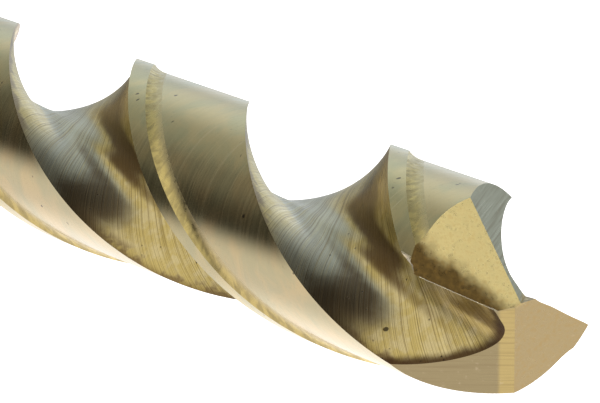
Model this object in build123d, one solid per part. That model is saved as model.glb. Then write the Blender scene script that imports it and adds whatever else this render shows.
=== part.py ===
"""Two-flute, right-hand twist drill with a straight shank, 13 mm in diameter.

It is the welded kind: a cobalt high-speed-steel cutting body and a tough alloy-steel shank,
joined face to face by a friction weld. Where the weld's flash was turned off, a shallow groove
is left. The drill is then ground as one bar.

Frame: the origin is the centre of the shank's end face, +Z runs along the axis to the point,
and the outer corner of one lip lies in the direction +X. Lengths are in millimetres.
"""

import math
import os

from build123d import *

# Driving dimensions
drill_diameter = 13.0
overall_length = 151.0
flute_length = 101.0
helix_angle = 31.4
point_angle = 140.0

# Shank, up to the weld between the two steels
shank_diameter = 12.94
weld_height = 44.0
shank_chamfer = 1.0
weld_groove_chamfer = 0.35

# Lands
land_angle = 81.5
margin_angle = 11.5
margin_fillet_angle = 10.5
clearance_depth = 0.30

# Flutes
lip_offset = 0.77
lip_inner_x = 1.10
web_growth = 0.006
wheel_radius = 42.0
section_turn = 15.0

# Point: each land has a primary facet behind its lip, and a steep heel facet
primary_end_angle = 55.6
primary_relief = 0.307
chisel_half_length = 0.22
heel_corner_drop = 5.6

radius = drill_diameter / 2
body_radius = radius - clearance_depth
lead = math.pi * drill_diameter / math.tan(math.radians(helix_angle))
lip_slope = math.tan(math.radians(90 - point_angle / 2))
flute_end = overall_length - flute_length

# How far a cutting tool reaches past the steel, and which way each one lifts out at its end
overrun = 1.0
blank_allowance = 3.0
runout_margin = 2.0
clearance_stop = 6.0
flute_lift_towards = -132
clearance_lift_towards = -50
clearance_past_heel = 9.0

# Cutters' outlines outside the drill, in radii
outside = 1.12
flute_crest = 1.9
clearance_side_crest = 1.25
clearance_crest = 1.6

# Outside the web, the side of the heel's cut falls away by this much for each unit of length
heel_side_slope = 0.42

# The blank's seam is turned away from the lips, the margins and the heels
blank_seam_angle = 50


def polar(r, degrees):
    """A point of the cross-section at radius r and an angle from +X."""
    return (r * math.cos(math.radians(degrees)), r * math.sin(math.radians(degrees)))


def turned(point, degrees):
    """A cross-section point, turned about the axis."""
    return polar(math.hypot(*point), math.degrees(math.atan2(point[1], point[0])) + degrees)


class Facet:
    """A plane of the point, z = a x + b y + c, with z counted from the lips' outer corners."""

    def __init__(self, a, b, c):
        self.a, self.b, self.c = a, b, c

    def height(self, point):
        return self.a * point[0] + self.b * point[1] + self.c

    @staticmethod
    def through(p, q, r):
        """The facet through three points."""
        n = (Vector(*q) - Vector(*p)).cross(Vector(*r) - Vector(*p))
        a, b = -n.X / n.Z, -n.Y / n.Z
        return Facet(a, b, p[2] - a * p[0] - b * p[1])

    def above(self, reach):
        """A large block standing on the facet, to cut away what lies above it."""
        normal = Vector(-self.a, -self.b, 1)
        plane = Plane(origin=(0, 0, corner_height + self.c), z_dir=normal)
        return plane * Box(reach, reach, reach, align=(Align.CENTER, Align.CENTER, Align.MIN))


# The lip is straight: it runs from its outer corner to where the thinned web begins.
lip_angle = math.asin(lip_offset / radius)
lip_run = (radius - lip_inner_x) / math.cos(lip_angle)
lip_inner = (lip_inner_x, lip_run * math.sin(lip_angle))

# The primary facet holds the lip and falls away behind it.
inward = (-math.cos(lip_angle), math.sin(lip_angle))
behind = (-math.sin(lip_angle), -math.cos(lip_angle))
primary_a = lip_slope * inward[0] - primary_relief * behind[0]
primary_b = lip_slope * inward[1] - primary_relief * behind[1]
primary = Facet(primary_a, primary_b, -primary_a * radius)

# The two primary facets meet in the chisel edge; its ends are where the thinning stops.
apex_height = primary.c
corner_height = overall_length - apex_height
ridge = Vector(primary_b, -primary_a).normalized()
chisel_end = (-chisel_half_length * ridge.X, -chisel_half_length * ridge.Y)
far_lip_inner = (-lip_inner[0], -lip_inner[1])

# The heel facet starts where the primary facet ends. Across the centre it stops at a wall,
# which thins the web: the wall's top is the inner part of the other land's lip.
turn_per_height = 360 / lead
primary_corner = polar(body_radius, -primary_end_angle)
heel_corner = polar(body_radius, -land_angle - turn_per_height * heel_corner_drop)
heel = Facet.through(
    (*primary_corner, primary.height(primary_corner)),
    (*chisel_end, apex_height),
    (*heel_corner, -heel_corner_drop),
)


def rake_wall(count=5):
    """Cross-section of the rake face: the straight lip, wound back along the helix."""
    points = []
    for i in range(count):
        share = i / (count - 1)
        x = radius + share * (lip_inner[0] - radius)
        y = share * lip_inner[1]
        points.append(turned((x, y), -turn_per_height * primary.height((x, y))))
    return points


def flute_profile():
    """The flute that lies behind the +X land: its wall, and a crest outside the drill."""
    heel_wall = [
        polar(outside * radius, -land_angle - 2.0),
        polar(0.955 * radius, -land_angle),
        polar(0.75 * radius, -79.8),
        polar(0.60 * radius, -77.8),
        polar(0.47 * radius, -75.5),
        polar(0.375 * radius, -74.5),
        polar(0.30 * radius, -76.5),
        polar(0.23 * radius, -84.0),
        polar(0.175 * radius, -105.0),
        polar(0.158 * radius, -134.0),
    ]
    far_rake = [turned(point, -180) for point in reversed(rake_wall())]
    wall = heel_wall + far_rake + [polar(outside * radius, -179.8)]
    return wall, [polar(flute_crest * radius, flute_lift_towards)]


def clearance_profile():
    """What is ground off a land behind its margin: its floor, and a crest outside the drill."""
    start = margin_angle + margin_fillet_angle
    end = land_angle + clearance_past_heel
    floor = [polar(body_radius, -start - i * (end - start) / 4) for i in range(5)]
    slope = [polar(radius + 0.12, -margin_angle + 2.0), polar(radius, -margin_angle)]
    slope.append(polar(body_radius + 0.1, -margin_angle - 0.35 * margin_fillet_angle))
    crest = [polar(clearance_side_crest * radius, -end)]
    crest.append(polar(clearance_crest * radius, clearance_lift_towards))
    return slope + floor, crest


def twisted_cutter(wall, crest, lift_towards, growth, top, bottom):
    """A closed outline wound along the helix, lifting out of the steel as a wheel does."""
    steps = math.ceil((top - bottom) / lead * 360 / section_turn)
    runout_start = flute_end + math.sqrt(2 * wheel_radius * radius) - runout_margin
    sections = []
    for i in range(steps + 1):
        z = top + (bottom - top) * i / steps
        past = max(0.0, runout_start - z)
        lift = growth * (corner_height - z) + wheel_radius - math.sqrt(wheel_radius**2 - past**2)
        shift = polar(lift, lift_towards)
        turn = turn_per_height * (z - corner_height)
        points = [turned((p[0] + shift[0], p[1] + shift[1]), turn) for p in wall + crest]
        points = [(x, y, z) for x, y in points]
        count = len(wall)
        back = Polyline(points[count - 1], *points[count:], points[0])
        sections.append(make_face([Spline(*points[:count]), back]))
    return loft(sections)


def bar(diameter, bottom, top):
    """A round bar standing on the axis."""
    base = (Align.CENTER, Align.CENTER, Align.MIN)
    return Pos(0, 0, bottom) * Cylinder(diameter / 2, top - bottom, align=base)


def cutting_body():
    """The fluted body with its ground point."""
    top = overall_length + blank_allowance
    blank = bar(drill_diameter, weld_height, top)
    blank = chamfer(blank.edges().sort_by(Axis.Z)[0], weld_groove_chamfer)
    body = Rot(0, 0, blank_seam_angle) * blank
    above = top + overrun
    flute_bottom = flute_end - overrun
    clearance_bottom = flute_end + clearance_stop
    flute = twisted_cutter(
        *flute_profile(), flute_lift_towards, web_growth, above, flute_bottom
    )
    relief = twisted_cutter(
        *clearance_profile(), clearance_lift_towards, 0.0, above, clearance_bottom
    )
    for turn in (0, 180):
        body -= Rot(0, 0, turn) * flute
        body -= Rot(0, 0, turn) * relief
    reach = 8 * drill_diameter
    far = 3 * radius
    rim = ((-far, -heel_side_slope * far), (-far, -far), (far, -far), (far, 0))
    heel_side = extrude(Polygon(chisel_end, far_lip_inner, *rim, align=None), 2 * far)
    heel_block = Pos(0, 0, overall_length - far) * heel_side & heel.above(reach)
    for turn in (0, 180):
        body -= Rot(0, 0, turn) * primary.above(reach)
        body -= Rot(0, 0, turn) * heel_block
    return body


def shank():
    """The straight shank, chamfered at its flat end and at the weld."""
    blank = bar(shank_diameter, 0, weld_height)
    blank = chamfer(blank.edges().sort_by(Axis.Z)[0], shank_chamfer)
    return chamfer(blank.edges().sort_by(Axis.Z)[-1], weld_groove_chamfer)


os.makedirs("parts", exist_ok=True)
for node, shape in (("cutting_body", cutting_body()), ("shank", shank())):
    export_step(shape, f"parts/{node}.step")
    print(node, len(shape.solids()), round(shape.volume, 1))
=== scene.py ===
# %% [markdown]
# # A twist drill with a welded shank
# A twist drill is one bar of steel with two helical flutes wheeled out of it and a point ground on
# its end. The CAD frame holds two pieces, the fluted cutting body and the plain shank. The shank is
# a plain turned shape and is kept as it is. The cutting body gets a finer mesh here, because its
# flutes, lands and facets carry all of the drill's looks.

# %% Load the frame
import math
import random

import bpy
import numpy as np
from mathutils import Euler, Matrix, Vector


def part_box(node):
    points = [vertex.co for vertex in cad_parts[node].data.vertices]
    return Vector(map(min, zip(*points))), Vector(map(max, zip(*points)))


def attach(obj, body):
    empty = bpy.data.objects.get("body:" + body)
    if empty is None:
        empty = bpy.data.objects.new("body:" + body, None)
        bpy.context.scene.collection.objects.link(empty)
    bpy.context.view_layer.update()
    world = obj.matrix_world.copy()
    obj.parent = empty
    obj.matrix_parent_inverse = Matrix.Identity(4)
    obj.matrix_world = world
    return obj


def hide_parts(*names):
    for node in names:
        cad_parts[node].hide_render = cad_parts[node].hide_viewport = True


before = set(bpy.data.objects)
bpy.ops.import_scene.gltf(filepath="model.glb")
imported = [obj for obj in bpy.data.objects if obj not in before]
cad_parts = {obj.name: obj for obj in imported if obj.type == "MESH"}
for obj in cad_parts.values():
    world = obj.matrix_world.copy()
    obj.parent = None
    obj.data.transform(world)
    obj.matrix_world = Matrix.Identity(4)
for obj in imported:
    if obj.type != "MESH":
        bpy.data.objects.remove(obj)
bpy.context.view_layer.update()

mm = 0.001

# %% [markdown]
# ## Camera
# A long lens, from beside the point and a little above it, keeps the helix nearly free of
# perspective. It comes first, so that every later step can be judged from one place.

# %% Camera
camera_data = bpy.data.cameras.new("camera")
camera_data.lens = 357.547
camera_data.sensor_width = 36
camera_data.clip_start = 0.01
camera = bpy.data.objects.new("camera", camera_data)
camera.location = Vector((-188.262, 10.807, 441.094)) * mm
camera_turn = (-11.4994, -28.6792, 20.0912)
camera.rotation_euler = [math.radians(degrees) for degrees in camera_turn]
bpy.context.collection.objects.link(camera)
bpy.context.scene.camera = camera
view_right, view_up, view_back = camera.rotation_euler.to_matrix().col
print("camera is", round(camera.location.length, 3), "m from the shank's end")


def towards(azimuth, elevation):
    """A direction, from the main view: 0 is towards the viewer, 90 is to the right."""
    a, e = math.radians(azimuth), math.radians(elevation)
    level = math.cos(a) * view_back + math.sin(a) * view_right
    return (math.cos(e) * level + math.sin(e) * view_up).normalized()


# %% [markdown]
# ## Measures of the drill
# The lengths come from the CAD box and the drill's own proportions. The helix turns once in each
# lead, so a height along the axis is also an angle of turn.

# %% Measures
body_low, body_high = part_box("cutting_body")
radius = body_high.x
weld_height = body_low.z
tip_height = body_high.z
helix_angle = math.radians(31.4)
lead = 2 * math.pi * radius / math.tan(helix_angle)
turn_per_metre = 360 / lead
body_radius = radius - 0.30 * mm
land_angle = 81.5
web_growth = 0.006
flute_end = 50 * mm
corner_height = tip_height - 2.11 * mm
wheel_radius = 42 * mm
runout_start = flute_end + math.sqrt(2 * wheel_radius * radius) - 2 * mm
print("radius", round(radius / mm, 2), "mm, lead", round(lead / mm, 2), "mm")


def polar(r, degrees):
    """A point of the cross-section."""
    return Vector((r * math.cos(math.radians(degrees)), r * math.sin(math.radians(degrees))))


def turned(point, degrees):
    """A cross-section point, turned about the axis."""
    angle = math.radians(degrees)
    c, s = math.cos(angle), math.sin(angle)
    return Vector((point[0] * c - point[1] * s, point[0] * s + point[1] * c))


# %% [markdown]
# ## The facets of the point
# Each lip has a flat primary facet behind it, and a steep heel facet behind that. Both are planes.
# A plane is kept as its slopes along x and y and its height on the axis, above the lips' corners.

# %% Facet planes
lip_inner = Vector((1.10, 0.646)) * mm
primary = (-0.325, 0.348, 0.325 * radius)


def facet_height(plane, point):
    """Height of a facet over a cross-section point, from the lips' outer corners."""
    return plane[0] * point[0] + plane[1] * point[1] + plane[2]


def plane_through(p, q, r):
    """The slopes and height of the plane through three points."""
    n = (q - p).cross(r - p)
    a, b = -n.x / n.z, -n.y / n.z
    return (a, b, p.z - a * p.x - b * p.y)


chisel_end = Vector((-0.16, -0.15)) * mm
primary_corner = polar(body_radius, -55.6)
heel_drop = 5.6 * mm
heel_corner = polar(body_radius, -land_angle - turn_per_metre * heel_drop)
heel = plane_through(
    Vector((*primary_corner, facet_height(primary, primary_corner))),
    Vector((*chisel_end, facet_height(primary, chisel_end))),
    Vector((*heel_corner, -heel_drop)),
)
print("primary", primary, "heel", [round(value, 4) for value in heel])

# %% [markdown]
# ## The flute's profile
# The flute is the shape that a grinding wheel leaves. It runs from the heel of one land, round the
# web, to the cutting lip of the other land. The lip is straight, so the rake wall is the lip wound
# back along the helix. A smooth curve through a few points is what a wheel's dressed rim would give.

# %% Flute profile
heel_wall = [
    (1.12, -83.5), (0.955, -81.5), (0.75, -79.8), (0.60, -77.8), (0.47, -75.5),
    (0.375, -74.5), (0.30, -76.5), (0.23, -84.0), (0.175, -105.0), (0.158, -134.0),
]
wall_points = [polar(r * radius, degrees) for r, degrees in heel_wall]
for share in (1.0, 0.75, 0.5, 0.25, 0.0):
    on_lip = Vector((radius, 0)).lerp(lip_inner, share)
    wound = turned(on_lip, -turn_per_metre * facet_height(primary, on_lip))
    wall_points.append(-wound)
wall_points.append(polar(1.12 * radius, -179.8))


def smooth_curve(points, samples):
    """Points along the natural cubic spline through the given points."""
    knots = np.array([list(point) for point in points])
    gaps = np.linalg.norm(np.diff(knots, axis=0), axis=1)
    places = np.concatenate([[0.0], np.cumsum(gaps)])
    count = len(knots)
    system = np.eye(count)
    target = np.zeros((count, 2))
    for i in range(1, count - 1):
        system[i, i - 1 : i + 2] = (gaps[i - 1], 2 * (gaps[i - 1] + gaps[i]), gaps[i])
        rise = (knots[i + 1] - knots[i]) / gaps[i] - (knots[i] - knots[i - 1]) / gaps[i - 1]
        target[i] = 6 * rise
    bend = np.linalg.solve(system, target)
    found = []
    for place in np.linspace(0, places[-1], samples):
        i = min(np.searchsorted(places, place, side="right") - 1, count - 2)
        h, t, s = gaps[i], place - places[i], places[i + 1] - place
        point = bend[i] * s**3 / (6 * h) + bend[i + 1] * t**3 / (6 * h)
        point = point + (knots[i] / h - bend[i] * h / 6) * s
        found.append(point + (knots[i + 1] / h - bend[i + 1] * h / 6) * t)
    return np.array(found)


flute_curve = smooth_curve(wall_points, 600)
print("flute curve", len(flute_curve), "points, nearest to the axis",
      round(np.linalg.norm(flute_curve, axis=1).min() / mm, 2), "mm")

# %% [markdown]
# ## One cross-section
# Half of the section is a land and a flute, and the other half is the same, turned by half a turn.
# The land has a narrow margin at full size, a hollow fillet, and a floor ground a little lower.
# Every section has the same number of points, so the sections join into clean quads. Towards the
# shank the web grows and then the wheel lifts out of the steel, so the flute's curve is shifted
# outwards and cut off where it leaves the bar.

# %% Section at a height
margin_steps = 6
fillet_steps = 6
floor_steps = 14
wall_steps = 62
half_count = margin_steps + fillet_steps + floor_steps + wall_steps
margin_end = -11.5
fillet_end = -22.0
fillet_power = 2.55
closed_flute = 0.4
flute_lift_towards = -132
clearance_lift_towards = -50


def wheel_lift(z):
    """How far a grinding wheel has lifted out of the steel at a height."""
    past = min(max(0.0, runout_start - z), wheel_radius)
    return wheel_radius - math.sqrt(wheel_radius**2 - past**2)


def land_radius(degrees, z):
    """Radius of the land's ground surface at an angle behind the lip's corner."""
    if degrees >= margin_end:
        return radius
    hollow = min(1.0, (margin_end - degrees) / (margin_end - fillet_end))
    ground = body_radius + (radius - body_radius) * (1 - hollow) ** fillet_power
    lifted = wheel_lift(z) * math.cos(math.radians(degrees - clearance_lift_towards))
    return min(radius, ground + max(0.0, lifted))


def cut_curve(z):
    """The part of the flute's curve inside the bar at a height, and where each end lies."""
    lift = web_growth * max(0.0, corner_height - z) + wheel_lift(z)
    curve = flute_curve + np.array(polar(lift, flute_lift_towards))
    sizes = np.linalg.norm(curve, axis=1)
    floor_size = land_radius(-land_angle, z)
    inside = np.nonzero(sizes < radius)[0]
    if len(inside) < 3:
        tip = [polar(radius, flute_lift_towards + side) for side in (closed_flute, -closed_flute)]
        return np.array([list(point) for point in tip])
    first = np.nonzero(sizes < floor_size)[0][0] if (sizes < floor_size).any() else inside[0]
    last = inside[-1]
    share = (sizes[first - 1] - floor_size) / (sizes[first - 1] - sizes[first])
    start = curve[first - 1] + share * (curve[first] - curve[first - 1])
    share = (radius - sizes[last]) / (sizes[last + 1] - sizes[last])
    end = curve[last] + share * (curve[last + 1] - curve[last])
    return np.vstack([start, curve[first : last + 1], end])


def half_section(z):
    """The points of a land and its flute, and how far each is along its own surface."""
    curve = cut_curve(z)
    run = np.concatenate([[0.0], np.cumsum(np.linalg.norm(np.diff(curve, axis=0), axis=1))])
    places = np.linspace(0, run[-1], wall_steps + 1)
    wall = np.column_stack([np.interp(places, run, curve[:, k]) for k in (0, 1)])
    heel_degrees = math.degrees(math.atan2(wall[0][1], wall[0][0]))
    lead_degrees = math.degrees(math.atan2(-wall[-1][1], -wall[-1][0]))
    stops = [lead_degrees + (margin_end - lead_degrees) * i / margin_steps
             for i in range(margin_steps)]
    stops += [margin_end + (fillet_end - margin_end) * i / fillet_steps
              for i in range(fillet_steps)]
    stops += [fillet_end + (heel_degrees - fillet_end) * i / floor_steps
              for i in range(floor_steps)]
    land = [polar(land_radius(degrees, z), degrees) for degrees in stops]
    points = land + [Vector(point) for point in wall[:-1]]
    return points, stops + [heel_degrees], places


def full_section(z):
    """Both halves of the section, turned as the helix is at that height."""
    points, _, _ = half_section(z)
    turn = turn_per_metre * (z - corner_height)
    return [turned(p, turn) for p in points] + [turned(p, turn + 180) for p in points]


print("section has", 2 * half_count, "points")

# %% [markdown]
# ## Winding the section into the body
# A ring of points is the section of the bar's fluted part. The Screw modifier winds it up the axis,
# which gives the lands and flutes in one go, with one row of quads to each step. Each row is then
# set to the section at its own height, for the growing web and the flutes' run-out.

# %% Wind the ring
weld_bevel = 0.35 * mm
low = weld_height + weld_bevel
high = tip_height + 3 * mm
rows = 260


def clear_selection():
    """Leave edit mode and select nothing."""
    if bpy.context.object and bpy.context.object.mode != "OBJECT":
        bpy.ops.object.mode_set(mode="OBJECT")
    bpy.ops.object.select_all(action="DESELECT")


clear_selection()
bpy.ops.mesh.primitive_circle_add(vertices=2 * half_count, radius=radius, location=(0, 0, low))
body = bpy.context.object
body.name = "fluted_body"
bpy.ops.object.transform_apply(location=True, rotation=False, scale=False)
for vertex, point in zip(body.data.vertices, full_section(low)):
    vertex.co = (point.x, point.y, low)
winding = body.modifiers.new("winding", "SCREW")
winding.axis = "Z"
winding.angle = math.radians(turn_per_metre * (high - low))
winding.screw_offset = high - low
winding.steps = rows
winding.render_steps = rows
winding.use_normal_calculate = True
bpy.ops.object.modifier_apply(modifier="winding")
print("wound body has", len(body.data.vertices), "points")

# %% Fit each row to its height
ring = 2 * half_count
across = []
for row in range(rows + 1):
    z = low + (high - low) * row / rows
    points, stops, places = half_section(z)
    turn = turn_per_metre * (z - corner_height)
    for half in (0, 1):
        for i, point in enumerate(points):
            flat = turned(point, turn + 180 * half)
            body.data.vertices[row * ring + half * half_count + i].co = (flat.x, flat.y, z)
    across.append((stops, places))
body.data.update()

# %% [markdown]
# ## Surfaces and their own coordinates
# A finish follows the grinding, so each face is told which surface it is on, and gets a map with
# the distance across the surface and the height along the drill, both in millimetres.

# %% Name the surfaces and map them
finish_names = [
    "land_finish", "margin_finish", "fillet_finish", "flute_finish",
    "primary_finish", "heel_finish", "notch_finish", "fracture_finish",
]
for name in finish_names:
    body.data.materials.append(bpy.data.materials.new(name))
slot_of = {name: number for number, name in enumerate(finish_names)}
land_steps = margin_steps + fillet_steps + floor_steps
ground_map = body.data.uv_layers.new(name="ground")
for face in body.data.polygons:
    columns = [index % ring for index in face.vertices]
    if max(columns) - min(columns) > 1:
        columns = [column if column else ring for column in columns]
    column = min(columns) % half_count
    first_column = min(columns) - column
    if column < margin_steps:
        face.material_index = slot_of["margin_finish"]
    elif column < margin_steps + fillet_steps:
        face.material_index = slot_of["fillet_finish"]
    elif column < land_steps:
        face.material_index = slot_of["land_finish"]
    else:
        face.material_index = slot_of["flute_finish"]
    for loop in face.loop_indices:
        index = body.data.loops[loop].vertex_index
        row = index // ring
        step = columns[list(face.vertices).index(index)] - first_column
        stops, places = across[row]
        if column < land_steps:
            u = -math.radians(stops[step]) * radius / mm
        else:
            u = places[step - land_steps] / mm
        ground_map.data[loop].uv = (u, body.data.vertices[index].co.z / mm)
print("surfaces named on", len(body.data.polygons), "faces")

# %% [markdown]
# ## Closing the shank end
# The bar is bevelled where it meets the weld. The lowest ring is extruded down and in, and filled.

# %% Close the shank end
clear_selection()
body.select_set(True)
bpy.context.view_layer.objects.active = body
for vertex in body.data.vertices:
    vertex.select = vertex.co.z < low + 0.01 * mm
for edge in body.data.edges:
    edge.select = all(body.data.vertices[i].select for i in edge.vertices)
for face in body.data.polygons:
    face.select = False
bpy.ops.object.mode_set(mode="EDIT")
bpy.ops.mesh.select_mode(type="EDGE")
bpy.ops.mesh.extrude_edges_move(TRANSFORM_OT_translate={"value": (0, 0, weld_height - low)})
groove = (radius - weld_bevel) / radius
bpy.ops.transform.resize(value=(groove, groove, 1), center_override=(0, 0, weld_height))
bpy.ops.mesh.edge_face_add()
print("shank end closed at", round(weld_height / mm, 2), "mm")

# %% [markdown]
# ## Grinding the point
# A drill grinder lays the point against a flat wheel, once for each primary facet. Bisect does the
# same: it cuts the body at a plane, throws away what lies outside, and fills the cut. The heel
# facets reach only to the middle of the web, so each is a block with a flat underside, taken away
# with a Boolean.

# %% Primary facets
on_plane = 0.0005 * mm
bpy.ops.mesh.select_mode(type="VERT")
for side in (1, -1):
    bpy.ops.mesh.select_all(action="SELECT")
    bpy.ops.mesh.bisect(
        plane_co=(0, 0, corner_height + primary[2]),
        plane_no=(-side * primary[0], -side * primary[1], 1),
        use_fill=True,
        threshold=on_plane,
        clear_outer=True,
    )
bpy.ops.mesh.select_all(action="SELECT")
bpy.ops.mesh.quads_convert_to_tris(quad_method="BEAUTY", ngon_method="BEAUTY")
bpy.ops.object.mode_set(mode="OBJECT")
print("after the primary facets:", len(body.data.polygons), "faces")

# %% Heel facets
far = 3 * radius
lip_side = Vector((-far, -0.42 * far))
outline = [
    chisel_end, -lip_inner, lip_side, Vector((-far, -far)), Vector((far, -far)), Vector((far, 0)),
]


def heel_block(side):
    """A block whose underside is the heel facet of one land."""
    clear_selection()
    bpy.ops.mesh.primitive_circle_add(vertices=len(outline), radius=far, fill_type="NGON")
    block = bpy.context.object
    for vertex, point in zip(block.data.vertices, outline):
        height = corner_height + facet_height(heel, point)
        vertex.co = (side * point.x, side * point.y, height)
    bpy.ops.object.mode_set(mode="EDIT")
    bpy.ops.mesh.select_all(action="SELECT")
    bpy.ops.mesh.extrude_region_move(TRANSFORM_OT_translate={"value": (0, 0, 4 * far)})
    bpy.ops.mesh.select_all(action="SELECT")
    bpy.ops.mesh.normals_make_consistent(inside=False)
    bpy.ops.object.mode_set(mode="OBJECT")
    return block


def take_away(piece, cutter):
    """Cut one mesh out of another and throw the cutter away."""
    clear_selection()
    piece.select_set(True)
    bpy.context.view_layer.objects.active = piece
    cut = piece.modifiers.new("cut", "BOOLEAN")
    cut.object = cutter
    cut.operation = "DIFFERENCE"
    cut.solver = "EXACT"
    bpy.ops.object.modifier_apply(modifier="cut")
    bpy.data.objects.remove(cutter, do_unlink=True)


for side in (1, -1):
    take_away(body, heel_block(side))
print("after the heel facets:", len(body.data.polygons), "faces")

# %% [markdown]
# ## The chipped corner
# The outer corner of a lip takes the fastest cutting and chips first. A chip leaves a small, rough,
# shell-shaped hollow, so the cutter is a sphere with its points pushed about at random.

# %% Chip one corner
random.seed(7)
clear_selection()
bpy.ops.mesh.primitive_ico_sphere_add(subdivisions=4, radius=1)
chip = bpy.context.object
edge_turn = math.radians(29)
chip_place = Vector((-radius - 0.12 * mm, 0.13 * mm, corner_height - 0.55 * mm))
chip_size = (0.54 * mm, 0.60 * mm, 1.20 * mm)
chip_roughness = 0.05
for vertex in chip.data.vertices:
    push = 1 + random.uniform(-chip_roughness, chip_roughness)
    pushed = Vector(c * size * push for c, size in zip(vertex.co, chip_size))
    vertex.co = Matrix.Rotation(edge_turn, 3, "X") @ pushed + chip_place
take_away(body, chip)
print("after the chip:", len(body.data.polygons), "faces")

# %% [markdown]
# ## Which surface each new face is on
# The cuts made new faces. A face of the point is known by its direction, and the wall beside the
# web by its place near the axis.

# %% Name the faces of the point
normal_of = {
    "primary_finish": Vector((-primary[0], -primary[1], 1)).normalized(),
    "heel_finish": Vector((-heel[0], -heel[1], 1)).normalized(),
}
wall_run = chisel_end + lip_inner
wall_normal = Vector((wall_run.y, -wall_run.x, 0)).normalized()
named = {name: 0 for name in finish_names}
same_way = 0.9999
point_depth = 8 * mm
wall_reach = 1.4 * mm
chip_shell = (0.7, 1.15)
for face in body.data.polygons:
    centre, normal = face.center, face.normal
    if centre.z < corner_height - point_depth:
        continue
    for side in (1, -1):
        for name, direction in normal_of.items():
            outwards = Vector((side * direction.x, side * direction.y, direction.z))
            if normal.dot(outwards) > same_way:
                face.material_index = slot_of[name]
    if abs(normal.dot(wall_normal)) > same_way and centre.xy.length < wall_reach:
        face.material_index = slot_of["notch_finish"]
    off = centre - chip_place
    off.rotate(Euler((-edge_turn, 0, 0)))
    shell = sum((c / size) ** 2 for c, size in zip(off, chip_size))
    on_chip = chip_shell[0] < shell < chip_shell[1]
    if on_chip and normal.dot(centre - chip_place) < 0:
        face.material_index = slot_of["fracture_finish"]
for face in body.data.polygons:
    named[finish_names[face.material_index]] += 1
print(named)
clear_selection()
body.select_set(True)
bpy.context.view_layer.objects.active = body
sharp_from = math.radians(18)
bpy.ops.object.shade_smooth_by_angle(angle=sharp_from)

# %% [markdown]
# ## The burr on the lip
# Grinding pushes a thin wire of steel over the cutting edge. It is bright, ragged and only a few
# hundredths of a millimetre high. A thin strip is divided along its length, its points are pulled
# about at random, and Solidify gives it a thickness.

# %% Raise the burr
lip_drop = facet_height(primary, lip_inner)
burr_start = Vector((-lip_inner.x, -lip_inner.y, corner_height + lip_drop))
burr_end = Vector((-radius, 0, corner_height))
clear_selection()
bpy.ops.mesh.primitive_grid_add(x_subdivisions=90, y_subdivisions=2, size=1)
burr = bpy.context.object
burr.name = "lip_burr"
lip_direction = (burr_end - burr_start).normalized()
out = Vector((lip_direction.y, -lip_direction.x, 0)).normalized()
if out.y > 0:
    out = -out
burr_root = 0.012 * mm
burr_reach = (0.06, 0.88)
for vertex in burr.data.vertices:
    share = burr_reach[0] + (burr_reach[1] - burr_reach[0]) * (vertex.co.x + 0.5)
    up = vertex.co.y + 0.5
    height = (0.035 + 0.05 * random.random() ** 2) * mm
    lean = (0.02 + 0.03 * random.random()) * mm
    foot = burr_start.lerp(burr_end, share) - Vector((0, 0, burr_root))
    vertex.co = foot + Vector((0, 0, up * height)) + up * lean * out
bpy.ops.object.modifier_add(type="SOLIDIFY")
burr_thickness = 0.02 * mm
burr.modifiers[0].thickness = burr_thickness
bpy.ops.object.modifier_apply(modifier=burr.modifiers[0].name)
print("burr has", len(burr.data.polygons), "faces")

# %% [markdown]
# ## Finishes
# The steel was tempered in air after grinding, so a thin straw and bronze oxide lies over every
# surface. A finish is a metal shader with that colour, a noise stretched along the grinding for
# its lines, and a slower noise for the cloudy changes of the oxide.

# %% Helpers for a finish
def node(tree, kind, inputs=None, **settings):
    """Add a node. An input is a number, a colour or another node's output."""
    made = tree.nodes.new(kind)
    for key, value in settings.items():
        setattr(made, key, value)
    for key, value in (inputs or {}).items():
        if isinstance(value, bpy.types.NodeSocket):
            tree.links.new(value, made.inputs[key])
        else:
            made.inputs[key].default_value = value
    return made


def maths(tree, operation, *values):
    """The output of a Math node."""
    made = node(tree, "ShaderNodeMath", dict(enumerate(values)), operation=operation)
    return made.outputs[0]


def dot(tree, vector, way):
    """How far a vector reaches along a fixed way."""
    made = node(tree, "ShaderNodeVectorMath", {0: vector, 1: way}, operation="DOT_PRODUCT")
    return made.outputs["Value"]


def blend(tree, factor, first, second):
    """A colour between two colours."""
    made = node(tree, "ShaderNodeMix", data_type="RGBA")
    for key, value in ((0, factor), (6, first), (7, second)):
        if isinstance(value, bpy.types.NodeSocket):
            tree.links.new(value, made.inputs[key])
        else:
            made.inputs[key].default_value = value
    return made.outputs[2]


def rise(tree, value, start, end, low=0.0, high=1.0):
    """A smooth step from low to high between two values."""
    inputs = {"Value": value, "From Min": start, "From Max": end, "To Min": low, "To Max": high}
    made = node(tree, "ShaderNodeMapRange", inputs, interpolation_type="SMOOTHSTEP")
    return made.outputs[0]


def noise(tree, vector, scale, detail=3.0, rough=0.55, distortion=0.0):
    """A noise's value, about 0.5."""
    inputs = {"Vector": vector, "Scale": scale, "Detail": detail, "Roughness": rough,
              "Distortion": distortion}
    return node(tree, "ShaderNodeTexNoise", inputs).outputs["Fac"]


def stretched(tree, vector, scale, rotation=(0, 0, 0)):
    """Coordinates multiplied by a scale on each axis, for lines."""
    inputs = {"Vector": vector, "Scale": scale, "Rotation": rotation}
    return node(tree, "ShaderNodeMapping", inputs).outputs[0]


def colour(red, green, blue):
    """A colour given as it looks on a screen, from 0 to 255."""
    return tuple(
        v / 255 / 12.92 if v / 255 < 0.04045 else ((v / 255 + 0.055) / 1.055) ** 2.4
        for v in (red, green, blue)
    ) + (1.0,)


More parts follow.
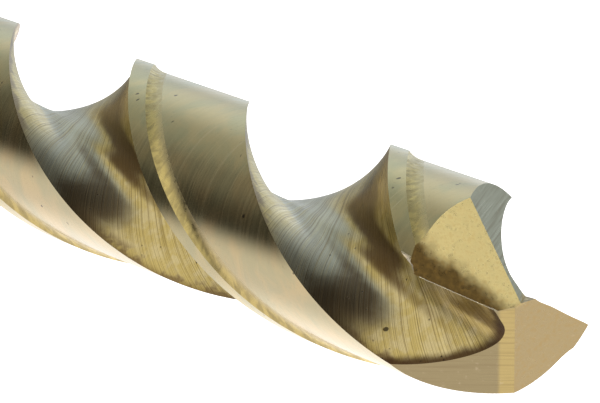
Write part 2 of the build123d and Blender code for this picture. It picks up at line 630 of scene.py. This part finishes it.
def start(name):
    """An empty finish with its metal shader, and the coordinates that a pattern can use."""
    made = bpy.data.materials.get(name) or bpy.data.materials.new(name)
    made.use_nodes = True
    tree = made.node_tree
    tree.nodes.clear()
    shader = node(tree, "ShaderNodeBsdfPrincipled", {"Metallic": 1.0, "Roughness": 0.3})
    output = node(tree, "ShaderNodeOutputMaterial")
    tree.links.new(shader.outputs[0], output.inputs[0])
    place = node(tree, "ShaderNodeTexCoord").outputs["Object"]
    along = node(tree, "ShaderNodeUVMap", uv_map="ground").outputs[0]
    return tree, shader, place, along


def put(tree, shader, base, roughness, height, bump_distance):
    """Join colour, roughness and relief to the shader."""
    tree.links.new(base, shader.inputs["Base Color"])
    tree.links.new(roughness, shader.inputs["Roughness"])
    inputs = {"Height": height, "Strength": 1.0, "Distance": bump_distance}
    relief = node(tree, "ShaderNodeBump", inputs)
    tree.links.new(relief.outputs[0], shader.inputs["Normal"])


# %% [markdown]
# The lands and margins were ground while the bar spun, so their lines run round it. A noise that is
# squeezed along the axis gives such lines, and a slow one gives the cloudy oxide.

# %% Lands and margins
def land_like(name, warm, cool, line_strength, roughness):
    """A finish for a surface ground while the bar spins."""
    tree, shader, place, along = start(name)
    lines = noise(tree, stretched(tree, place, (90, 90, 9000)), 1.0, 4.0, 0.6)
    clouds = noise(tree, place, 320, 4.0, 0.55, 0.6)
    grain = noise(tree, place, 5200, 2.0, 0.6)
    base = blend(tree, rise(tree, clouds, 0.36, 0.64), cool, warm)
    base = blend(tree, rise(tree, grain, 0.62, 0.80, 0.0, 0.30), base, colour(120, 104, 70))
    base = blend(tree, rise(tree, lines, 0.55, 0.85, 0.0, 0.35), base, colour(226, 214, 190))
    pits = rise(tree, noise(tree, place, 1500, 1.0, 0.4), 0.75, 0.79, 0.0, 0.8)
    base = blend(tree, pits, base, colour(60, 48, 34))
    rough = maths(tree, "ADD", rise(tree, lines, 0.3, 0.8, 0.0, 0.10), roughness)
    height = maths(tree, "SUBTRACT", lines, pits)
    put(tree, shader, base, rough, height, line_strength)


land_like("land_finish", colour(208, 190, 140), colour(192, 184, 140), 0.0007 * mm, 0.17)
land_like("margin_finish", colour(206, 192, 140), colour(188, 182, 138), 0.0006 * mm, 0.18)
print("land and margin finished")

# %% [markdown]
# The hollow fillet behind the margin was left by the side of a wheel, so it is mottled and more
# golden than the land.

# %% Fillet behind the margin
tree, shader, place, along = start("fillet_finish")
ripples = noise(tree, stretched(tree, along, (1.0, 1.5, 1.0), (0, 0, 0.6)), 1.0, 2.0, 0.5, 0.6)
speckle = noise(tree, place, 2600, 3.0, 0.6)
base = blend(tree, rise(tree, ripples, 0.40, 0.62), colour(186, 170, 114), colour(216, 197, 128))
base = blend(tree, rise(tree, speckle, 0.56, 0.74, 0.0, 0.35), base, colour(140, 118, 70))
u = node(tree, "ShaderNodeSeparateXYZ", {0: along}).outputs[0]
base = blend(tree, rise(tree, u, 1.7, 2.5), base, colour(202, 188, 140))
rough = rise(tree, speckle, 0.3, 0.7, 0.24, 0.40)
put(tree, shader, base, rough, maths(tree, "ADD", ripples, speckle), 0.007 * mm)
print("fillet finished")

# %% [markdown]
# The flute's wheel crossed the wall at a slant and left lines there. They are drawn on the body's
# own map, a coarse and a fine set, over a gold and a browner tint of oxide, and over grey and brown
# patches that are partly oxide and partly painted reflection.

# %% Wheel lines in the flutes
tree, shader, place, along = start("flute_finish")
apart = node(tree, "ShaderNodeSeparateXYZ", {0: along})
u, v = apart.outputs[0], apart.outputs[1]
slant = 1.2
climb = maths(tree, "MULTIPLY_ADD", u, slant, v)
wheel_lines = node(tree, "ShaderNodeCombineXYZ", {0: climb, 1: u}).outputs[0]
coarse = noise(tree, stretched(tree, wheel_lines, (9.5, 0.08, 1.0)), 1.0, 3.0, 0.6)
fine = noise(tree, stretched(tree, wheel_lines, (23.0, 0.14, 1.0)), 1.0, 2.0, 0.5)
clouds = noise(tree, place, 420, 4.0, 0.6, 0.5)
cloud_shift = maths(tree, "MULTIPLY", maths(tree, "SUBTRACT", clouds, 0.5), 3.2)
shifted = maths(tree, "ADD", u, cloud_shift)
print("wheel lines and clouds are ready")

# %% [markdown]
# The flutes have brown and grey patches that are partly oxide from heat and partly painted
# reflection of a dark room mirrored in the wall. They are painted by the way that a wall faces in
# the drill's own frame, so they stay on the steel and are the same in both flutes. Their directions
# were chosen to look right from the main view, so they are a likeness and not a measure.

# %% Patches in the flutes
facing = node(tree, "ShaderNodeTexCoord").outputs["Normal"]
edge_wobble = 0.018


def facing_share(x, y, z, inner, outer, amount):
    """How nearly a wall faces one way, or that way turned half round, with a cloudy edge."""
    one_flute = dot(tree, facing, Vector((x, y, z)).normalized())
    other_flute = dot(tree, facing, Vector((-x, -y, z)).normalized())
    nearer = maths(tree, "MAXIMUM", one_flute, other_flute)
    wander = maths(tree, "MULTIPLY_ADD", clouds, 2 * edge_wobble, nearer)
    wander = maths(tree, "SUBTRACT", wander, edge_wobble)
    wide, close = math.cos(math.radians(outer)), math.cos(math.radians(inner))
    return rise(tree, wander, wide, close, 0.0, amount)


grey_oxide_and_reflection_tint = colour(180, 180, 160)
rake_tint = colour(202, 174, 106)
mottle = rise(tree, noise(tree, place, 900, 3.0, 0.6), 0.40, 0.62)
gold_tint = blend(tree, mottle, colour(204, 184, 116), colour(216, 200, 148))
# The grey patch is partly oxide and partly painted reflection, laid by the way a wall faces.
grey_oxide_and_reflection = facing_share(-0.36, 0.93, 0.12, 21, 37, 1.0)
base = blend(tree, grey_oxide_and_reflection, gold_tint, grey_oxide_and_reflection_tint)
# A brown band along the heel edge of each flute wall is painted shade, kept off the grey patch.
edge_wander = maths(tree, "MULTIPLY_ADD", mottle, -0.5, u)
heel_edge_painted_shade = rise(tree, edge_wander, -0.2, 0.5, 0.75, 0.0)
heel_edge_painted_shade = maths(tree, "MULTIPLY", heel_edge_painted_shade, maths(tree, "SUBTRACT", 1.0, grey_oxide_and_reflection))
near_lip = rise(tree, shifted, 9.4, 12.0, 0.0, 0.7)
base = blend(tree, near_lip, base, rake_tint)
base = blend(tree, rise(tree, coarse, 0.46, 0.64, 0.0, 0.62), base, colour(110, 88, 46))
base = blend(tree, rise(tree, fine, 0.52, 0.70, 0.0, 0.55), base, colour(238, 222, 164))
# Each patch: the way its wall faces, the degrees within which it is full and beyond which it
# ends, and its strength.
brown_oxide_and_reflection_patches = [
    (-0.97, 0.23, -0.08, 9, 21, 0.93),
    (-0.53, 0.75, 0.39, 6, 17, 0.8),
    (-0.75, -0.64, 0.14, 4, 15, 0.65),
]
# Each brown patch is partly oxide and partly painted reflection, laid by the way a wall faces.
for patch in brown_oxide_and_reflection_patches:
    base = blend(tree, facing_share(*patch), base, colour(92, 70, 38))
# The painted shade along the heel edge goes over the patches.
base = blend(tree, heel_edge_painted_shade, base, colour(104, 78, 44))
print("flute patches painted")

# %% [markdown]
# A thin dark line of painted shade follows the edge below each heel facet.
# Small pits are where the wheel pulled grains out. One of them is deeper and has its own place.

# %% Painted shade below the heel facets, and pits
for side in (1, -1):
    slope = (-side * heel[0], -side * heel[1], 1.0)
    below = maths(tree, "SUBTRACT", dot(tree, place, slope), corner_height + heel[2])
    below = maths(tree, "MULTIPLY_ADD", clouds, 1.2 * mm, below)
    # Painted shade, darkest just under the heel facet's edge.
    heel_facet_painted_shade = rise(tree, below, -0.6 * mm, 0.4 * mm, 0.0, 0.95)
    base = blend(tree, heel_facet_painted_shade, base, colour(74, 54, 34))
cells = node(tree, "ShaderNodeTexVoronoi", {"Vector": place, "Scale": 1400.0, "Randomness": 1.0})
picked = rise(tree, noise(tree, place, 300, 2.0, 0.5), 0.52, 0.60)
pit = rise(tree, cells.outputs["Distance"], 0.06, 0.12, 1.0, 0.0)
pit = maths(tree, "MULTIPLY", pit, picked)
deep_pit = Vector((-2.20, -3.92, 141.5)) * mm
away = node(tree, "ShaderNodeVectorMath", {0: place, 1: deep_pit}, operation="DISTANCE")
deep = rise(tree, away.outputs["Value"], 0.14 * mm, 0.20 * mm, 1.0, 0.0)
pit = maths(tree, "MAXIMUM", pit, deep)
base = blend(tree, maths(tree, "MULTIPLY", pit, 0.85), base, colour(44, 34, 26))
rough = rise(tree, fine, 0.3, 0.75, 0.26, 0.40)
height = maths(tree, "ADD", coarse, maths(tree, "MULTIPLY", fine, 0.4))
height = maths(tree, "SUBTRACT", height, maths(tree, "MULTIPLY", pit, 2.0))
put(tree, shader, base, rough, height, 0.010 * mm)
print("flutes finished")

# %% [markdown]
# The primary facets have the short fine grain of a cup wheel. One land's facet is a paler gold, and
# it is painted dark brown beside the lip.

# %% Primary facets' finish
tree, shader, place, along = start("primary_finish")
apart = node(tree, "ShaderNodeSeparateXYZ", {0: place})
x, y = apart.outputs[0], apart.outputs[1]
drawn = noise(tree, stretched(tree, place, (1600, 5200, 3000), (0, 0, 0.6)), 1.0, 3.0, 0.6)
speckle = noise(tree, place, 3400, 3.0, 0.65)
clouds = noise(tree, place, 700, 3.0, 0.6)
wander = maths(tree, "MULTIPLY", maths(tree, "SUBTRACT", clouds, 0.5), 2.2 * mm)
from_lip = maths(tree, "ADD", maths(tree, "MULTIPLY_ADD", x, 0.40, y), wander)
# The facet is painted dark brown in a cloudy band beside the lip.
darker_beside_lip = rise(tree, from_lip, -1.3 * mm, 0.4 * mm, 1.0, 0.0)
darker_beside_lip = maths(tree, "MULTIPLY", darker_beside_lip, rise(tree, x, 0.1 * mm, -0.3 * mm))
other_land = rise(tree, maths(tree, "SUBTRACT", x, y), -0.4 * mm, 0.4 * mm)
base = blend(tree, other_land, colour(230, 211, 146), colour(186, 168, 122))
base = blend(tree, rise(tree, speckle, 0.46, 0.70, 0.0, 0.35), base, colour(190, 158, 92))
base = blend(tree, rise(tree, drawn, 0.56, 0.78, 0.0, 0.12), base, colour(240, 226, 180))
brown = blend(tree, rise(tree, speckle, 0.45, 0.70), colour(84, 62, 26), colour(106, 81, 38))
base = blend(tree, maths(tree, "MULTIPLY", darker_beside_lip, 0.95), base, brown)
rough = rise(tree, speckle, 0.3, 0.7, 0.26, 0.42)
put(tree, shader, base, rough, maths(tree, "ADD", drawn, speckle), 0.00015 * mm)
print("primary facets finished")

# %% [markdown]
# The heel facets were ground roughly, so their marks are long and straight. The marks are laid on
# one facet and turned half round for the other. One facet has a golden strip beside its front edge.

# %% Heel facets' finish
tree, shader, place, along = start("heel_finish")
apart = node(tree, "ShaderNodeSeparateXYZ", {0: place})
x, y = apart.outputs[0], apart.outputs[1]
other_land = rise(tree, maths(tree, "SUBTRACT", x, y), -0.3 * mm, 0.3 * mm)
half_turn = maths(tree, "MULTIPLY_ADD", other_land, 2.0, -1.0)
matched = node(tree, "ShaderNodeCombineXYZ", {
    0: maths(tree, "MULTIPLY", x, half_turn),
    1: maths(tree, "MULTIPLY", y, half_turn),
    2: apart.outputs[2],
}).outputs[0]
mark_way = Vector((-0.60, -0.29, -0.745))
mark_side = Vector((0.68, -0.68, -0.28))
mark_place = node(tree, "ShaderNodeCombineXYZ", {
    0: maths(tree, "MULTIPLY", dot(tree, matched, mark_way), 170.0),
    1: maths(tree, "MULTIPLY", dot(tree, matched, mark_side), 5200.0),
}).outputs[0]
marks = noise(tree, mark_place, 1.0, 3.0, 0.6)
speckle = noise(tree, place, 2600, 3.0, 0.6)
base = blend(tree, other_land, colour(168, 168, 144), colour(170, 156, 116))
past_edge = dot(tree, place, (-0.805, -0.593, 0))
strip = rise(tree, past_edge, 0.74 * mm, 0.94 * mm, 1.0, 0.0)
base = blend(tree, maths(tree, "MULTIPLY", strip, other_land), base, colour(204, 184, 122))
base = blend(tree, rise(tree, marks, 0.46, 0.66, 0.0, 0.26), base, colour(134, 114, 82))
base = blend(tree, rise(tree, speckle, 0.60, 0.80, 0.0, 0.25), base, colour(238, 222, 188))
rough = rise(tree, marks, 0.3, 0.7, 0.26, 0.42)
put(tree, shader, base, rough, maths(tree, "ADD", marks, speckle), 0.0012 * mm)
print("heel facets finished")

# %% [markdown]
# The small wall where the web was thinned, the broken surface of the chip and the burr differ only
# in tint, grain and roughness, so one loop makes all three.

# %% Web-thinning wall, fracture and burr
for name, tint, grain_scale, depth, roughness in (
    ("notch_finish", colour(150, 132, 92), 3200, 0.006 * mm, 0.34),
    ("fracture_finish", colour(188, 182, 160), 4200, 0.030 * mm, 0.46),
    ("burr_finish", colour(236, 228, 200), 5200, 0.008 * mm, 0.30),
):
    tree, shader, place, along = start(name)
    grain = noise(tree, place, grain_scale, 4.0, 0.65)
    base = blend(tree, rise(tree, grain, 0.35, 0.70), tint, colour(226, 214, 180))
    rough = rise(tree, grain, 0.3, 0.7, roughness - 0.06, roughness + 0.10)
    put(tree, shader, base, rough, grain, depth)
burr.data.materials.append(bpy.data.materials["burr_finish"])
print("small surfaces finished")

# %% [markdown]
# The shank was ground like the lands. It has a bronze band of heat beside the weld, and scuffs
# along it from the chuck.

# %% Shank's finish
tree, shader, place, along = start("shank_finish")
height_up = node(tree, "ShaderNodeSeparateXYZ", {0: place}).outputs[2]
lines = noise(tree, stretched(tree, place, (90, 90, 9000)), 1.0, 4.0, 0.6)
clouds = noise(tree, place, 240, 4.0, 0.55, 0.6)
scuffs = noise(tree, stretched(tree, place, (700, 700, 60)), 1.0, 3.0, 0.6)
base = blend(tree, rise(tree, clouds, 0.36, 0.64), colour(194, 182, 142), colour(208, 190, 142))
heat = rise(tree, height_up, weld_height - 6 * mm, weld_height, 0.0, 0.55)
base = blend(tree, heat, base, colour(176, 128, 72))
base = blend(tree, rise(tree, lines, 0.55, 0.85, 0.0, 0.35), base, colour(228, 218, 196))
base = blend(tree, rise(tree, scuffs, 0.66, 0.78, 0.0, 0.5), base, colour(110, 98, 78))
rough = maths(tree, "ADD", rise(tree, lines, 0.3, 0.8, 0.0, 0.10), 0.20)
put(tree, shader, base, rough, lines, 0.0016 * mm)
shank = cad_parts["shank"]
for slot in shank.material_slots:
    slot.material = bpy.data.materials["shank_finish"]
print("shank finished")

# %% [markdown]
# ## Which body each piece rides on
# The drill has no moving parts, so all of it rides on the one root body. The finer body stands for
# the CAD node, which stays for collision.

# %% Ride and replace
for piece in (body, burr):
    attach(piece, "root")
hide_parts("cutting_body")

# %% [markdown]
# ## Floor and light
# Polished steel shows what is round it, so most of the light is a sky of soft zones: a wide pale
# one below and behind, a soft box at the upper left, and a darker room elsewhere. The floor is
# plain and pale. It glows a little and is left out of the steel's reflections, and the camera sees
# a plain white where the sky would be.

# %% Floor
clear_selection()
bpy.ops.mesh.primitive_plane_add(size=3, location=(0, 0, 0))
floor = bpy.context.object
floor.name = "floor"
floor.visible_glossy = False
floor.visible_diffuse = False
floor_paint = bpy.data.materials.new("pale_floor")
floor_paint.use_nodes = True
paint = floor_paint.node_tree.nodes["Principled BSDF"]
paint.inputs["Base Color"].default_value = (0.9, 0.9, 0.9, 1)
paint.inputs["Roughness"].default_value = 0.9
paint.inputs["Emission Color"].default_value = (1, 1, 1, 1)
paint.inputs["Emission Strength"].default_value = 0.8
floor.data.materials.append(floor_paint)

# %% Sky of soft zones
# Each zone: its centre, the degrees within which it is full and beyond which it ends, and its glow.
zones = [
    (towards(0, -90), 79, 93, (0.68, 0.64, 0.66)),
    (towards(175, -38), 12, 44, (0.46, 0.45, 0.44)),
    (towards(164, 2), 12, 30, (0.36, 0.39, 0.42)),
    (towards(140, 18), 14, 34, (0.22, 0.24, 0.24)),
    (towards(-160, 47), 10, 34, (0.26, 0.28, 0.27)),
    (towards(176, 30), 8, 34, (0.32, 0.35, 0.38)),
    (towards(-72, 40), 24, 50, (0.62, 0.60, 0.56)),
    (towards(60, 20), 20, 70, (0.20, 0.20, 0.20)),
    (towards(-10, 8), 20, 66, (0.16, 0.16, 0.16)),
]
world = bpy.data.worlds.new("studio")
bpy.context.scene.world = world
world.use_nodes = True
sky = world.node_tree
sky.nodes.clear()
direction = node(sky, "ShaderNodeTexCoord").outputs["Generated"]
total = node(sky, "ShaderNodeCombineXYZ", {0: 0.042, 1: 0.038, 2: 0.032}).outputs[0]
for centre, inner, outer, glow in zones:
    near = node(sky, "ShaderNodeVectorMath", {0: direction, 1: centre}, operation="DOT_PRODUCT")
    outer_cosine, inner_cosine = math.cos(math.radians(outer)), math.cos(math.radians(inner))
    share = rise(sky, near.outputs["Value"], outer_cosine, inner_cosine)
    added = node(sky, "ShaderNodeVectorMath", {0: share, 1: glow, 2: total},
                 operation="MULTIPLY_ADD")
    total = added.outputs[0]
room = node(sky, "ShaderNodeBackground", {"Color": total, "Strength": 1.35})
plain = node(sky, "ShaderNodeBackground", {"Color": (1, 1, 1, 1), "Strength": 1.0})
seen = node(sky, "ShaderNodeLightPath").outputs["Is Camera Ray"]
either = node(sky, "ShaderNodeMixShader", {0: seen, 1: room.outputs[0], 2: plain.outputs[0]})
world_output = node(sky, "ShaderNodeOutputWorld", {0: either.outputs[0]})
bpy.context.scene.view_settings.view_transform = "Standard"
print("sky has", len(zones), "zones")

# %% Soft lamp
lamp_data = bpy.data.lights.new("soft_lamp", "AREA")
lamp_data.size = 0.5
lamp_data.energy = 2.0
lamp = bpy.data.objects.new("soft_lamp", lamp_data)
lamp.location = (-0.35, 0.25, 0.75)
lamp.rotation_euler = (Vector((0, 0, 0.08)) - lamp.location).to_track_quat("-Z", "Y").to_euler()
bpy.context.collection.objects.link(lamp)
print("lamp of", lamp_data.energy, "W")
